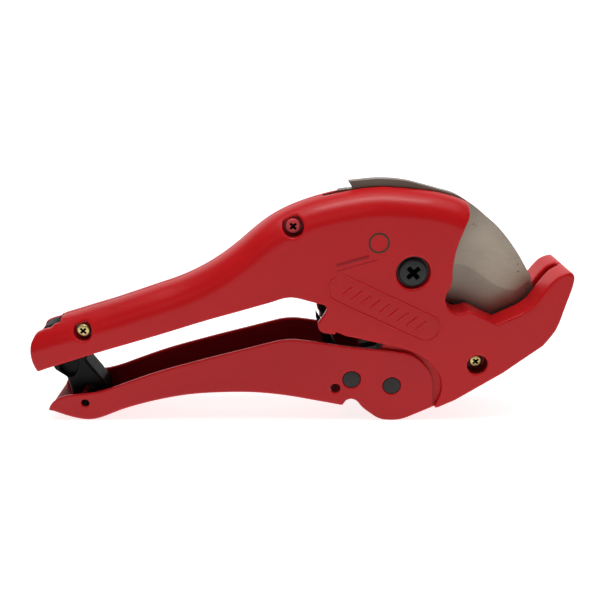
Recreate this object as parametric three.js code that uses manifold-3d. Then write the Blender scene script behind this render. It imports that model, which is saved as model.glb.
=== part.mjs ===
// Ratcheting plastic-pipe cutter: two cast shells, a swinging fan blade, a sheet-metal lower handle,
// a drive pawl and a holding pawl, and a thumb latch at the end of the handles.
// Millimetres, +X towards the jaw, +Y towards the far side, +Z up.
// The drawing below is made about the blade pivot and then moved to the row origin.
import * as THREE from "three";
import { mergeVertices } from "three/addons/utils/BufferGeometryUtils.js";
import Module from "manifold-3d";

const wasm = await Module();
wasm.setup();

// ---------------------------------------------------------------- driving dimensions
const ORIGIN = [47.35, 0, 68.5]; // blade pivot, measured from the row origin
const WIDTH = 26; // thickness of the tool
const HALF = 11.5; // half thickness as drawn: every depth along Y is drawn at this scale and brought to WIDTH at the end
const GAP = 0.15; // each shell stops this far from the middle plane
const TOP_DROP = 10.5; // how far the full-round top falls before the flat side starts
const SLOT = 1.7; // half width of the blade slot
const BLADE_T = 2.5;
const FAN_R = 44.2; // tooth tips
const ROOT_R = 40.8; // tooth roots
const TOOTH_START = 127; // degrees, first tooth face
const TOOTH_PITCH = 7.5;
const TOOTH_COUNT = 10;
const SLOT_R = 46.6;
const JAW_SLOT_R = 56.4;
const PRONG_SLOT_R = 62.6; // the slot runs on up the prong
const PIPE_R = 20.6; // largest pipe the jaw takes
const SHEET = 1.5; // lower handle sheet
const POCKET_Y = 9.7; // floor of the pocket that the handle ears turn in
const HANDLE_PIVOT = [-6.4, -51.3];
const PAWL_PIVOT = [-23.8, -48.3];
const SPRING_HOLE = [-30.7, -52.6];
const CATCH = [-139.6, -59.8];
const CATCH_R = 1.7;
const END_SCREW = [-137.3, -26.4];
const SHOULDER = [-48.7, 18.8];
const JAW_SCREW = [29.7, -41.3];
const TONGUE_R = 12.4;

// ---------------------------------------------------------------- outlines, X and Z about the blade pivot
const TOP = [[-148.8, -23.1], [-141.6, -20.9], [-134.5, -18.6], [-127.3, -16.4], [-120.2, -14.0], [-113.2, -11.6], [-106.1, -9.1], [-99.2, -6.7], [-92.2, -3.7], [-85.2, 0.0], [-78.3, 4.5], [-71.5, 9.8], [-64.7, 15.7], [-58.0, 20.7], [-51.4, 24.3], [-44.8, 27.0], [-38.3, 29.1], [-31.8, 30.7], [-25.8, 31.9], [-19.4, 32.9], [-13.0, 33.3], [-6.5, 33.0], [0.0, 32.4], [6.5, 31.7], [12.2, 30.6], [17.6, 29.0], [22.0, 27.1]];
const LEFT_END = [[-158.4, -44.8], [-159.9, -41.0], [-160.4, -37.0], [-160.2, -32.4], [-158.8, -28.8], [-155.2, -27.2], [-152.2, -26.4], [-150.8, -24.4]];
const FRONT = [[21.8, 23.0], [19.8, 19.2], [17.8, 13.7], [16.6, 9.2], [15.9, 1.3], [16.1, -4.5], [15.2, -7.4], [14.0, -9.8], [14.1, -12.7], [15.8, -15.7], [18.7, -17.6], [21.5, -17.8], [24.2, -16.6], [25.9, -17.2], [36.5, -22.5], [47.1, -17.2], [50.1, -14.5], [53.4, -9.5], [56.6, -4.5], [59.0, -1.8], [61.6, -0.4], [64.1, 0.0], [65.6, -1.4], [65.7, -4.6], [63.9, -13.9], [61.4, -24.7], [59.4, -28.5], [56.7, -32.6], [47.4, -40.2], [41.1, -45.4], [21.5, -58.6], [14.7, -62.0], [8.0, -64.4]];
const LOWER_LEFT = [[-20.5, -38.0], [-24.0, -32.0], [-27.0, -28.0], [-36.0, -26.7], [-37.8, -25.5], [-38.8, -22.1], [-35.2, -17.1], [-35.2, -14.4], [-38.5, -13.5], [-48.4, -10.7], [-51.7, -10.9], [-58.4, -13.1], [-85.2, -21.1], [-105.8, -27.8], [-133.6, -36.4], [-153.1, -42.9]];
const POCKET = [[-31.0, -26.0], [-27.0, -28.0], [-21.5, -29.1], [-14.7, -30.8], [-4.4, -33.1], [-0.9, -34.3], [5.7, -37.4], [10.5, -41.4], [13.5, -45.3], [15.0, -49.8], [15.1, -54.8], [14.0, -58.6], [12.9, -61.2], [14.6, -72.0], [-31.0, -72.0]];
const WALL = [[-156.1, -63.5], [-154.6, -60.5], [-152.1, -58.3], [-148.4, -56.5], [-142.7, -55.9], [-135.6, -55.1], [-128.5, -53.1], [-121.3, -50.2], [-107.0, -44.9], [-86.1, -38.7], [-65.5, -33.1], [-58.6, -31.2], [-54.4, -30.1], [-49.3, -29.7], [-45.1, -30.0], [-24.8, -33.1], [-4.3, -35.4], [1.3, -36.7], [5.9, -40.0], [8.8, -43.7], [10.8, -48.0], [11.4, -53.6], [11.7, -61.8], [5.1, -65.0], [-0.9, -67.9], [-5.6, -68.5], [-11.1, -67.7], [-15.6, -64.6], [-19.1, -61.8], [-20.8, -59.2], [-22.5, -58.0], [-24.0, -57.7], [-25.6, -58.3], [-27.8, -61.4]];
const BELLY = [[-27.8, -61.4], [-38.1, -59.3], [-52.1, -56.6], [-66.0, -55.1], [-79.9, -55.1], [-93.9, -56.1], [-108.0, -58.8], [-122.4, -63.0], [-134.3, -67.8], [-137.9, -68.5], [-141.4, -68.4], [-147.5, -66.9], [-154.2, -64.3]];
const LATCH = [[-156.6, -30.6], [-156.9, -28.8], [-155.8, -27.2], [-152.6, -26.1], [-150.6, -27.2], [-146.0, -26.6], [-142.0, -24.8], [-139.8, -23.7], [-137.3, -23.1], [-135.0, -23.8], [-133.3, -25.6], [-132.9, -28.0], [-134.2, -32.0], [-136.8, -38.0], [-139.8, -42.8], [-138.2, -45.4], [-135.4, -49.6], [-133.4, -52.9], [-131.9, -56.6], [-131.7, -61.3], [-132.8, -62.9], [-135.2, -63.6], [-137.2, -63.3], [-137.5, -62.2], [-135.4, -61.8], [-135.0, -60.3], [-135.2, -57.5], [-137.2, -55.6], [-141.8, -55.6], [-144.0, -57.6], [-144.4, -61.0], [-146.0, -62.0], [-147.6, -60.0], [-148.0, -57.2], [-149.2, -51.4], [-153.8, -47.9], [-155.6, -44.0], [-156.0, -36.0]];
const LATCH_SLOT = [[-170, -14], [-149.6, -14], [-148.6, -24.5], [-141.8, -23.3], [-137.3, -22.4], [-132.2, -22.8], [-130.6, -28], [-131.0, -46], [-158.0, -60], [-158.0, -31.0], [-170, -31.0]];
const SPINE = [[-19.5, 35.9], [-16.1, 36.2], [-9.6, 36.1], [-3.1, 35.3], [3.4, 33.7], [10.1, 31.9], [16.6, 30.0], [23.5, 25.9], [27.0, 23.4], [30.6, 20.4], [34.2, 17.5], [37.9, 13.8], [41.7, 9.3], [45.7, 3.9], [48.7, -0.8], [51.4, -5.2], [53.1, -9.3]];
const EDGE = [[54.0, -11.8], [52.0, -16.4], [49.0, -19.9], [45.0, -23.0], [38.0, -25.0], [30.0, -22.9], [20.0, -18.2], [10.0, -12.4]];
const EDGE_TOP = [[52.6, -8.6], [50.8, -4.3], [48.4, -9.3], [45.3, -11.9], [37.3, -9.3], [28.2, -3.0], [19.9, 0.3], [9.0, -4.0]];

// ---------------------------------------------------------------- shape helpers
const rad = (d) => (d * Math.PI) / 180;
const polar = (r, d, c = [0, 0]) => [c[0] + r * Math.cos(rad(d)), c[1] + r * Math.sin(rad(d))];
const arc = (c, r, from, to, n) => Array.from({ length: n + 1 }, (_, i) => polar(r, from + ((to - from) * i) / n, c));

// prism of an X-Z outline between two Y planes
function prism(points, y0, y1, holes = []) {
  const shape = new THREE.Shape(points.map(([x, z]) => new THREE.Vector2(x, z)));
  for (const h of holes) shape.holes.push(new THREE.Path(h.map(([x, z]) => new THREE.Vector2(x, z))));
  return new THREE.ExtrudeGeometry(shape, { depth: y1 - y0, bevelEnabled: false, steps: 1 }).rotateX(Math.PI / 2).translate(0, y1, 0);
}
const rod = ([x, z], r, y0, y1, n = 24) => new THREE.CylinderGeometry(r, r, y1 - y0, n).translate(x, (y0 + y1) / 2, z);
const tube = ([x, z], r0, r1, y0, y1, n = 24) =>
  new THREE.LatheGeometry([[r0, y0], [r1, y0], [r1, y1], [r0, y1], [r0, y0]].map(([r, y]) => new THREE.Vector2(r, y)), n).translate(x, 0, z);
const turned = ([x, z], profile, n = 24) => new THREE.LatheGeometry(profile.map(([r, y]) => new THREE.Vector2(r, y)), n).translate(x, 0, z);

// closed solid through rings of equal length, each [y, [[x, z], ...]]
function rings(list) {
  const n = list[0][1].length, pos = [], idx = [];
  for (const [y, ring] of list) for (const [x, z] of ring) pos.push(x, y, z);
  for (let k = 0; k + 1 < list.length; k++)
    for (let i = 0; i < n; i++) {
      const j = (i + 1) % n, a = k * n + i, b = k * n + j, c = a + n, d = b + n;
      idx.push(a, b, d, a, d, c);
    }
  for (const k of [0, list.length - 1]) {
    const flat = list[k][1].map(([x, z]) => new THREE.Vector2(x, z));
    for (const [a, b, c] of THREE.ShapeUtils.triangulateShape(flat, []))
      k ? idx.push(k * n + a, k * n + b, k * n + c) : idx.push(a, c, b);
  }
  const g = new THREE.BufferGeometry();
  g.setAttribute("position", new THREE.Float32BufferAttribute(pos, 3));
  g.setIndex(idx);
  return g;
}

function solid(geometry) {
  let g = geometry.clone();
  g.deleteAttribute("normal");
  g.deleteAttribute("uv");
  g = mergeVertices(g, 1e-5);
  const vertProperties = new Float32Array(g.attributes.position.array);
  const tri = [];
  const src = g.index.array;
  for (let i = 0; i < src.length; i += 3) {
    const [a, b, c] = [src[i], src[i + 1], src[i + 2]];
    if (a !== b && b !== c && a !== c) tri.push(a, b, c);
  }
  let m = new wasm.Manifold(new wasm.Mesh({ numProp: 3, vertProperties, triVerts: new Uint32Array(tri) }));
  if (m.volume() < 0) {
    for (let i = 0; i < tri.length; i += 3) [tri[i + 1], tri[i + 2]] = [tri[i + 2], tri[i + 1]];
    m = new wasm.Manifold(new wasm.Mesh({ numProp: 3, vertProperties, triVerts: new Uint32Array(tri) }));
  }
  return m;
}
function geometryOf(m) {
  const mesh = m.getMesh();
  const g = new THREE.BufferGeometry();
  const p = new Float32Array(mesh.numVert * 3);
  for (let i = 0; i < mesh.numVert; i++) for (let k = 0; k < 3; k++) p[3 * i + k] = mesh.vertProperties[i * mesh.numProp + k];
  g.setAttribute("position", new THREE.BufferAttribute(p, 3));
  g.setIndex(new THREE.BufferAttribute(new Uint32Array(mesh.triVerts), 1));
  return g;
}
const cut = (a, ...b) => b.reduce((m, c) => m.subtract(c instanceof wasm.Manifold ? c : solid(c)), a instanceof wasm.Manifold ? a : solid(a));
const join = (a, ...b) => b.reduce((m, c) => m.add(c instanceof wasm.Manifold ? c : solid(c)), a instanceof wasm.Manifold ? a : solid(a));

// wire of round section along a smooth path
function wire(points, r, steps, sides = 6) {
  const path = new THREE.CatmullRomCurve3(points.map((p) => new THREE.Vector3(...p)));
  const section = new THREE.Shape(Array.from({ length: sides }, (_, i) => new THREE.Vector2(r * Math.cos((2 * Math.PI * i) / sides), r * Math.sin((2 * Math.PI * i) / sides))));
  return new THREE.ExtrudeGeometry(section, { extrudePath: path, steps, bevelEnabled: false });
}
// coil about an axis along Y with straight legs, as a list of points
function coil([x, z], r, y0, y1, startDeg, turns, perTurn) {
  const n = Math.round(Math.abs(turns) * perTurn);
  return Array.from({ length: n + 1 }, (_, i) => {
    const [px, pz] = polar(r, startDeg + (360 * turns * i) / n, [x, z]);
    return [px, y0 + ((y1 - y0) * i) / n, pz];
  });
}

// ---------------------------------------------------------------- cast shells
const TONGUE = arc(HANDLE_PIVOT, TONGUE_R, -72, -216, 12);
const HOUSING = [...LEFT_END, ...TOP, ...FRONT, ...TONGUE, ...LOWER_LEFT];

// what the full-round top takes off a square-edged shell on one side
function topRound(side) {
  const chain = [[-176, -31.4], ...TOP, [26.5, 23.4]];
  const normal = chain.map((p, i) => {
    const a = chain[Math.max(0, i - 1)], b = chain[Math.min(chain.length - 1, i + 1)];
    const l = Math.hypot(b[0] - a[0], b[1] - a[1]);
    return [(b[1] - a[1]) / l, -(b[0] - a[0]) / l];
  });
  const levels = [[-0.5, -0.4], [0, 0], ...[15, 30, 45, 60, 75, 90].map((t) => [HALF * Math.sin(rad(t)), TOP_DROP * (1 - Math.cos(rad(t)))]), [HALF + 2, TOP_DROP]];
  return rings(levels.map(([y, d]) => [side * y, [...chain.map(([x, z], i) => [x + d * normal[i][0], z + d * normal[i][1]]), [31, 23.4 + d * normal[chain.length - 1][1]], [31, 60], [-190, 60]]]));
}

const pawlBay = [[-46.5, -13.0], [-40.0, -12.0], [-33.5, -18.0], [-28.0, -26.0], [-22.5, -36.0], [-20.6, -42.0], [-20.2, -52.0], [-24.0, -66.0], [-52, -66], [-52, -20]];
const notchBay = [[-46.0, -9.5], [-31.5, -9.5], [-30.0, -19.0], [-31.6, -24.6], [-50.0, -27.0], [-50.0, -10.5]]; // cavity behind the notch
const lipBay = [[-31.0, -27.1], [-27.0, -28.2], [-21.5, -29.4], [-14.7, -31.1], [-10.5, -32.1], [-13.0, -37.0], [-21.0, -38.5], [-27.0, -33.0]]; // opening under the pocket's upper edge
const hu = [0.799, 0.601], hn = [-0.601, 0.799]; // along the holding pawl, and across it
const hp = (a, b) => [SHOULDER[0] + hu[0] * a + hn[0] * b, SHOULDER[1] + hu[1] * a + hn[1] * b];
const holdBay = [hp(-5, 2.6), hp(-2.5, 4.3), hp(6, 3.6), hp(12, 1.9), hp(15.6, 0.5), hp(18.2, -0.6), hp(22, -3), hp(14, -6), hp(5, -5.5), hp(-2, -5), hp(-5, -2.4)];
const holdSpringBay = [hp(-1, 4.2), hp(6, 3.9), hp(10.9, 3.6), hp(10.9, 0), hp(-1, 0)];
const topWindow = [[-36.4, 20], [-36.4, 45], [25, 45], [25, 20]];
const jawSlot = [[0, 0], ...arc([0, 0], JAW_SLOT_R, -46, -30, 4), ...arc([0, 0], PRONG_SLOT_R, -28, -0.5, 6)];
const handleHollow = [[-123.0, -30.6], [-123.6, -20.6], [-106.5, -14.8], [-92.8, -9.8], [-79.5, -3.8], [-70.0, 2.8], [-62.5, 8.4], [-58.5, 8.6], [-56.5, 4.0], [-56.6, -8.5], [-60.0, -10.4], [-85.4, -18.0], [-106.0, -24.7]];

function shell(side) {
  const near = side < 0;
  const span = (a, b) => (near ? [-b, -a] : [a, b]);
  const p = (pts, a, b) => prism(pts, ...span(a, b));
  const c = (at, r, a, b, n) => rod(at, r, ...span(a, b), n);
  let s = solid(p(HOUSING, GAP, HALF));
  s = cut(s, topRound(side));
  s = cut(s,
    c([0, 0], SLOT_R, -1, SLOT, 72),
    p(jawSlot, -1, SLOT),
    p(topWindow, -1, SLOT),
    p(pawlBay, -1, 3.2),
    p(notchBay, -1, 9.2),
    p(lipBay, -1, HALF + 1),
    p(holdBay, -1, SLOT),
    p(LATCH_SLOT, -1, 4.9),
    p(handleHollow, -1, 8.2),
    p(POCKET, POCKET_Y, HALF + 1),
  );
  // pivot bushing seat and handle bushing seat
  s = cut(s, c([0, 0], 4.25, -1, 7.9, 32), c(HANDLE_PIVOT, 4.75, -1, HALF + 1, 32));
  if (near) {
    s = cut(s, c([0, 0], 3.2, 7, HALF + 1, 32), c([0, 0], 6.9, 9.35, HALF + 1, 40),
      c(END_SCREW, 1.95, -1, HALF + 1, 20), c(END_SCREW, 3.9, 7.8, HALF + 1, 32),
      c(SHOULDER, 2.05, -1, HALF + 1, 20), c(SHOULDER, 4.2, 7.2, HALF + 1, 32),
      c(JAW_SCREW, 1.85, -1, HALF + 1, 20), c(JAW_SCREW, 4.35, 6.6, HALF + 1, 32),
      c(HANDLE_PIVOT, 7.7, 2.6, 7.9, 32), // bay for the handle's spring and its legs
      p([[-27, -40.6], [-27, -45.4], [-6.4, -46.6], [-6.4, -43.6]], 2.6, 4.5),
      p([[-13.9, -51], [-13.9, -42.6], [-11.5, -42.6], [-11.5, -51]], 6.0, 7.9));
  } else {
    s = cut(s, c([0, 0], 3.2, 7, HALF + 1, 32), c([0, 0], 6.1, 8.3, HALF + 1, 6),
      c(END_SCREW, 1.95, -1, 9.2, 20), c(SHOULDER, 2.05, -1, 9.2, 20), c(JAW_SCREW, 1.85, -1, 9.2, 20),
      c(SHOULDER, 4.3, -1, 6.2, 28), // bay for the holding pawl's spring
      p(holdSpringBay, -1, 3.2));
  }
  return geometryOf(s);
}

// ---------------------------------------------------------------- blade
function bladeSolid() {
  const teeth = [];
  for (let i = 0; i < TOOTH_COUNT; i++) {
    const at = TOOTH_START + TOOTH_PITCH * i;
    teeth.push(polar(FAN_R, at), polar(ROOT_R, at + 0.35));
  }
  const last = TOOTH_START + TOOTH_PITCH * (TOOTH_COUNT - 1);
  const back = [polar(36, last + 3), polar(24, last + 6), polar(14, last + 14), [-8.5, -11.0], [1.0, -13.2]];
  const lead = [...SPINE].reverse();
  // order: cutting edge from heel to tip, spine from tip back, teeth, rear edge
  const full = [...[...EDGE].reverse(), ...lead, ...teeth, ...back];
  const thin = [...[...EDGE_TOP].reverse(), ...lead.map((q, i) => (i === 0 ? [52.75, -8.9] : i === 1 ? [51.3, -4.9] : q)), ...teeth, ...back];
  const h = BLADE_T / 2;
  thin[7] = [52.4, -8.2];
  thin[6] = [50.9, -6.2];
  const m = solid(rings([[-h, thin], [-0.12, full], [0.12, full], [h, thin]]));
  return geometryOf(cut(m, rod([0, 0], 4.2, -5, 5, 32)));
}

// ---------------------------------------------------------------- lower handle
function channel() {
  const near = solid(prism(WALL.concat(BELLY.slice(1)), -HALF, -HALF + SHEET));
  const far = solid(prism(WALL.concat(BELLY.slice(1)), HALF - SHEET, HALF));
  const inner = BELLY.map(([x, z], i) => {
    const a = BELLY[Math.max(0, i - 1)], b = BELLY[Math.min(BELLY.length - 1, i + 1)];
    const l = Math.hypot(b[0] - a[0], b[1] - a[1]);
    return [x + (SHEET * (b[1] - a[1])) / l, z - (SHEET * (b[0] - a[0])) / l];
  });
  let m = join(near, far, prism([...BELLY, ...inner.reverse()], -HALF + 0.4, HALF - 0.4));
  for (const side of [-1, 1]) {
    const y = side < 0 ? [-HALF - 1, -HALF + SHEET + 0.4] : [HALF - SHEET - 0.4, HALF + 1];
    m = cut(m, rod(HANDLE_PIVOT, 4.15, ...y, 28), rod(PAWL_PIVOT, 4.15, ...y, 28), rod(SPRING_HOLE, 2.2, ...y, 20), rod(CATCH, 1.95, ...y, 20));
  }
  return geometryOf(m);
}

// ---------------------------------------------------------------- pawls
const TIP = polar(44.85, 209);
const DRIVE = [
  TIP, ...arc([0, 0], 45.1, 211, 222, 4), [-29.6, -38.6],
  ...arc(PAWL_PIVOT, 4.7, 88, -150, 12),
  [-33.0, -44.6], [-35.0, -38.4], [-36.9, -32.0], [-37.8, -27.5], [-39.2, -23.4],
];
const HOLD = [...arc(SHOULDER, 3.9, 105, 330, 12), hp(7, -2.4), hp(11, -1.0), hp(13.4, -0.8), hp(15.0, -0.9), hp(15.3, -0.2), hp(13.8, 0.6), hp(12, 1.0), hp(6, 2.2)];

// ---------------------------------------------------------------- screws
// Phillips screw along Y: head at the near side, y is the top of its head
function screw(at, headR, headH, top, shankR, end, crossW, crossL, n = 28) {
  const dome = [[0, top], [headR * 0.55, top + headH * 0.08], [headR * 0.9, top + headH * 0.35], [headR, top + headH * 0.62], [headR, top + headH], [shankR, top + headH], [shankR, end - shankR * 0.6], [shankR * 0.45, end], [0, end]];
  let s = solid(turned(at, dome, n));
  const [x, z] = at;
  for (const turn of [0.5, 0.5 + Math.PI / 2]) {
    const g = new THREE.BoxGeometry(crossL, headH * 1.3, crossW).rotateY(turn).translate(x, top, z);
    s = cut(s, g);
  }
  return geometryOf(s);
}

// ---------------------------------------------------------------- assembly
const object = new THREE.Group();
const frame = new THREE.Group();
frame.position.set(...ORIGIN);
object.add(frame);

const paint = { color: 0xb02a30, roughness: 0.38, metalness: 0.1 };
const steel = { color: 0xa59c8c, roughness: 0.35, metalness: 0.9 };
const dark = { color: 0x26262a, roughness: 0.45, metalness: 0.6 };
const zinc = { color: 0xc9a94a, roughness: 0.35, metalness: 0.9 };
const black = { color: 0x141415, roughness: 0.5, metalness: 0.0 };
const wireSteel = { color: 0x8c8c8c, roughness: 0.4, metalness: 0.9 };

function add(name, geometry, look) {
  geometry.scale(1, WIDTH / (2 * HALF), 1);
  const mesh = new THREE.Mesh(geometry, new THREE.MeshStandardMaterial(look));
  mesh.name = name;
  frame.add(mesh);
}

add("near_housing", shell(-1), paint);
add("far_housing", shell(1), paint);
add("blade", bladeSolid(), steel);

// blade pivot: screw and nut through a bushing, a thrust washer under the head
add("blade_pivot_screw", screw([0, 0], 5.9, 1.6, -11.5, 2.8, 11.1, 1.5, 6.6, 36), dark);
add("blade_pivot_bushing", tube([0, 0], 3.1, 4.0, -7.7, 7.7, 32), steel);
add("blade_pivot_washer", tube([0, 0], 3.3, 6.6, -9.75, -9.45, 32), black);
add("blade_pivot_nut", geometryOf(cut(rod([0, 0], 5.7, 8.5, 11.3, 6), rod([0, 0], 3.05, 8, 12, 28))), dark);
add("blade_shim_near", tube([0, 0], 4.3, 8.0, -1.6, -1.35, 28), steel);
add("blade_shim_far", tube([0, 0], 4.3, 8.0, 1.35, 1.6, 28), steel);

add("handle_end_screw", screw(END_SCREW, 2.65, 1.7, -9.8, 1.7, 8.6, 0.8, 3.2, 24), zinc);
add("shoulder_screw", screw(SHOULDER, 2.9, 1.8, -9.3, 1.8, 8.6, 0.9, 3.5, 24), paint);
add("jaw_screw", screw(JAW_SCREW, 2.6, 1.7, -8.6, 1.6, 8.6, 0.8, 3.2, 24), zinc);

// lower handle and what is riveted to it
add("lower_handle", channel(), paint);
const rivet = (at, shank) => turned(at, [[0, -11.5], [3.4, -11.5], [3.9, -11.2], [3.9, -10.2], [shank, -10.2], [shank, 10.2], [3.9, 10.2], [3.9, 11.2], [3.4, 11.5], [0, 11.5]], 28);
add("handle_pivot_rivet", rivet(HANDLE_PIVOT, 3.0), dark);
add("handle_pivot_bushing", tube(HANDLE_PIVOT, 3.2, 4.4, -9.6, 9.6, 28), steel);
add("pawl_rivet", rivet(PAWL_PIVOT, 2.5), dark);
add("pawl_spacer_near", tube(PAWL_PIVOT, 2.75, 4.3, -9.7, -2.8, 24), steel);
add("pawl_spacer_far", tube(PAWL_PIVOT, 2.75, 3.5, 2.8, 9.7, 24), steel);
add("catch_pin", rod(CATCH, CATCH_R, -10.9, 10.9, 20), dark);

add("drive_pawl", geometryOf(cut(prism(DRIVE, -2.5, 2.5), rod(PAWL_PIVOT, 2.75, -5, 5, 24))), dark);
add("holding_pawl", geometryOf(cut(prism(HOLD, -1.25, 1.25), rod(SHOULDER, 2.1, -5, 5, 20))), dark);

// thumb latch: solid lever with side ribs either side of a thin web
{
  let m = solid(prism(LATCH, -4.5, 4.5));
  const panel = [[-152.4, -46.0], [-150.6, -36.0], [-141.5, -36.0], [-141.2, -44.6], [-144.2, -52.0], [-147.4, -52.0]];
  m = cut(m, prism(panel, -6, -1.4), prism(panel, 1.4, 6), rod(END_SCREW, 2.0, -6, 6, 24));
  add("latch", geometryOf(m), black);
}

// springs
{
  const c = coil(PAWL_PIVOT, 4.15, 3.7, 7.3, 150, 3.25, 12);
  const head = [[-33.6, 3.3, -39.2], [-31.6, 3.4, -42.4]];
  const tail = [[-26.0, 7.9, -52.6], [-29.4, 8.6, -53.2], [-30.7, 10.0, -52.6], [-30.7, 11.2, -52.6]];
  add("drive_pawl_spring", wire([...head, ...c, ...tail], 0.4, 62, 5), wireSteel);
}
{
  const c = coil(SHOULDER, 3.4, 2.5, 5.3, 60, 3, 12);
  const a = hp(10, 2.6), b = hp(6, 3.2);
  add("holding_pawl_spring", wire([[a[0], 0.6, a[1]], [a[0] - 0.6, 2.0, a[1] - 0.2], [b[0], 2.4, b[1]], ...c, [SHOULDER[0] + 3.6, 5.3, SHOULDER[1] - 1.6]], 0.35, 60, 5), wireSteel);
}
{
  const c = coil(HANDLE_PIVOT, 6.3, -3.5, -7.0, 90, -2.75, 14);
  add("handle_return_spring", wire([[-25.2, -3.5, -43.2], [-16.0, -3.5, -44.2], ...c, [-12.7, -7.0, -47.5], [-12.7, -7.0, -43.6]], 0.55, 66, 5), wireSteel);
}

export default object;
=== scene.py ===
import bpy, bmesh, math
import numpy as np
from mathutils import Vector, Matrix


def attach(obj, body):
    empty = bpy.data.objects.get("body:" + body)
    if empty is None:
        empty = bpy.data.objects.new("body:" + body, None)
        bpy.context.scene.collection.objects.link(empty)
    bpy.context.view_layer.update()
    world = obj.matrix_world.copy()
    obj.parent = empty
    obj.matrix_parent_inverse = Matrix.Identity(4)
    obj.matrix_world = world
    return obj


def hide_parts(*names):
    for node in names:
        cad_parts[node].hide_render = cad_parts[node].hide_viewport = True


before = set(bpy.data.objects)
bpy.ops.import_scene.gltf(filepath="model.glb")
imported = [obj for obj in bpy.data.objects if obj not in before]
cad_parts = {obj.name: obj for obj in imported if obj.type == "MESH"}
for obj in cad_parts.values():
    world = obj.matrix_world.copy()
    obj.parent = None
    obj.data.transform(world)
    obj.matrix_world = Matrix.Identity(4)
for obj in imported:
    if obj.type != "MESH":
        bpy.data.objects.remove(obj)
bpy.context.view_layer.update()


# ------------------------------------------------------------------ drawing, mm about the blade pivot (X, Z)
ORIGIN = np.array([47.35, 0.0, 68.5])
HALF = 11.5
TOP_DROP = 10.5
WIDTH = 26.0
WIDEN = WIDTH / (2 * HALF)  # depths along Y are drawn for half thickness HALF and brought to WIDTH
H = (-6.4, -51.3)
P = (-23.8, -48.3)
CATCH = (-139.6, -59.8)
END_SCREW = (-137.3, -26.4)
SHOULDER = (-48.7, 18.8)
JAW_SCREW = (29.7, -41.3)
SPRING_HOLE = (-30.7, -52.6)

TOP = [(-148.8, -23.1), (-141.6, -20.9), (-134.5, -18.6), (-127.3, -16.4), (-120.2, -14.0), (-113.2, -11.6), (-106.1, -9.1), (-99.2, -6.7), (-92.2, -3.7), (-85.2, 0.0), (-78.3, 4.5), (-71.5, 9.8), (-64.7, 15.7), (-58.0, 20.7), (-51.4, 24.3), (-44.8, 27.0), (-38.3, 29.1), (-31.8, 30.7), (-25.8, 31.9), (-19.4, 32.9), (-13.0, 33.3), (-6.5, 33.0), (0.0, 32.4), (6.5, 31.7), (12.2, 30.6), (17.6, 29.0), (22.0, 27.1)]
POCKET = [(-31.0, -26.0), (-27.0, -28.0), (-21.5, -29.1), (-14.7, -30.8), (-4.4, -33.1), (-0.9, -34.3), (5.7, -37.4), (10.5, -41.4), (13.5, -45.3), (15.0, -49.8), (15.1, -54.8), (14.0, -58.6), (12.9, -61.2)]
PAWL_BAY = [(-46.5, -13.0), (-40.0, -12.0), (-33.5, -18.0), (-28.0, -26.0), (-22.5, -36.0), (-20.6, -42.0), (-20.2, -52.0), (-24.0, -66.0), (-52, -66), (-52, -20)]
LATCH_SLOT = [(-170, -14), (-149.6, -14), (-148.6, -24.5), (-141.8, -23.3), (-137.3, -22.4), (-132.2, -22.8), (-130.6, -28), (-131.0, -46), (-158.0, -60), (-158.0, -31.0), (-170, -31.0)]
HOLLOW = [(-123.0, -30.6), (-123.6, -20.6), (-106.5, -14.8), (-92.8, -9.8), (-79.5, -3.8), (-70.0, 2.8), (-62.5, 8.4), (-58.5, 8.6), (-56.5, 4.0), (-56.6, -8.5), (-60.0, -10.4), (-85.4, -18.0), (-106.0, -24.7)]
NOTCH_BAY = [(-46.0, -9.5), (-31.5, -9.5), (-30.0, -19.0), (-31.6, -24.6), (-50.0, -27.0), (-50.0, -10.5)]
LIP_BAY = [(-31.0, -27.1), (-27.0, -28.2), (-21.5, -29.4), (-14.7, -31.1), (-10.5, -32.1), (-13.0, -37.0), (-21.0, -38.5), (-27.0, -33.0)]
SPINE = [(-19.5, 35.9), (-16.1, 36.2), (-9.6, 36.1), (-3.1, 35.3), (3.4, 33.7), (10.1, 31.9), (16.6, 30.0), (23.5, 25.9), (27.0, 23.4), (30.6, 20.4), (34.2, 17.5), (37.9, 13.8), (41.7, 9.3), (45.7, 3.9), (48.7, -0.8), (51.4, -5.2), (53.1, -9.3)]
EDGE = [(54.0, -11.8), (52.0, -16.4), (49.0, -19.9), (45.0, -23.0), (38.0, -25.0), (30.0, -22.9), (20.0, -18.2), (10.0, -12.4)]


def cr(points, n=6):
    """Centripetal curve through every point."""
    p = [np.array(q, float) for q in points]
    p = [2 * p[0] - p[1]] + p + [2 * p[-1] - p[-2]]
    out = []
    for i in range(1, len(p) - 2):
        a, b, c, d = p[i - 1], p[i], p[i + 1], p[i + 2]
        t = [0.0]
        for u, v in ((a, b), (b, c), (c, d)):
            t.append(t[-1] + max(np.linalg.norm(v - u), 1e-6) ** 0.5)
        for k in range(n):
            s = t[1] + (t[2] - t[1]) * k / n
            a1 = a * (t[1] - s) / (t[1] - t[0]) + b * (s - t[0]) / (t[1] - t[0])
            a2 = b * (t[2] - s) / (t[2] - t[1]) + c * (s - t[1]) / (t[2] - t[1])
            a3 = c * (t[3] - s) / (t[3] - t[2]) + d * (s - t[2]) / (t[3] - t[2])
            b1 = a1 * (t[2] - s) / (t[2] - t[0]) + a2 * (s - t[0]) / (t[2] - t[0])
            b2 = a2 * (t[3] - s) / (t[3] - t[1]) + a3 * (s - t[1]) / (t[3] - t[1])
            out.append(b1 * (t[2] - s) / (t[2] - t[1]) + b2 * (s - t[1]) / (t[2] - t[1]))
    out.append(p[-2])
    return [tuple(q) for q in out]


def pol(r, deg, c=(0.0, 0.0)):
    return (c[0] + r * math.cos(math.radians(deg)), c[1] + r * math.sin(math.radians(deg)))


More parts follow.
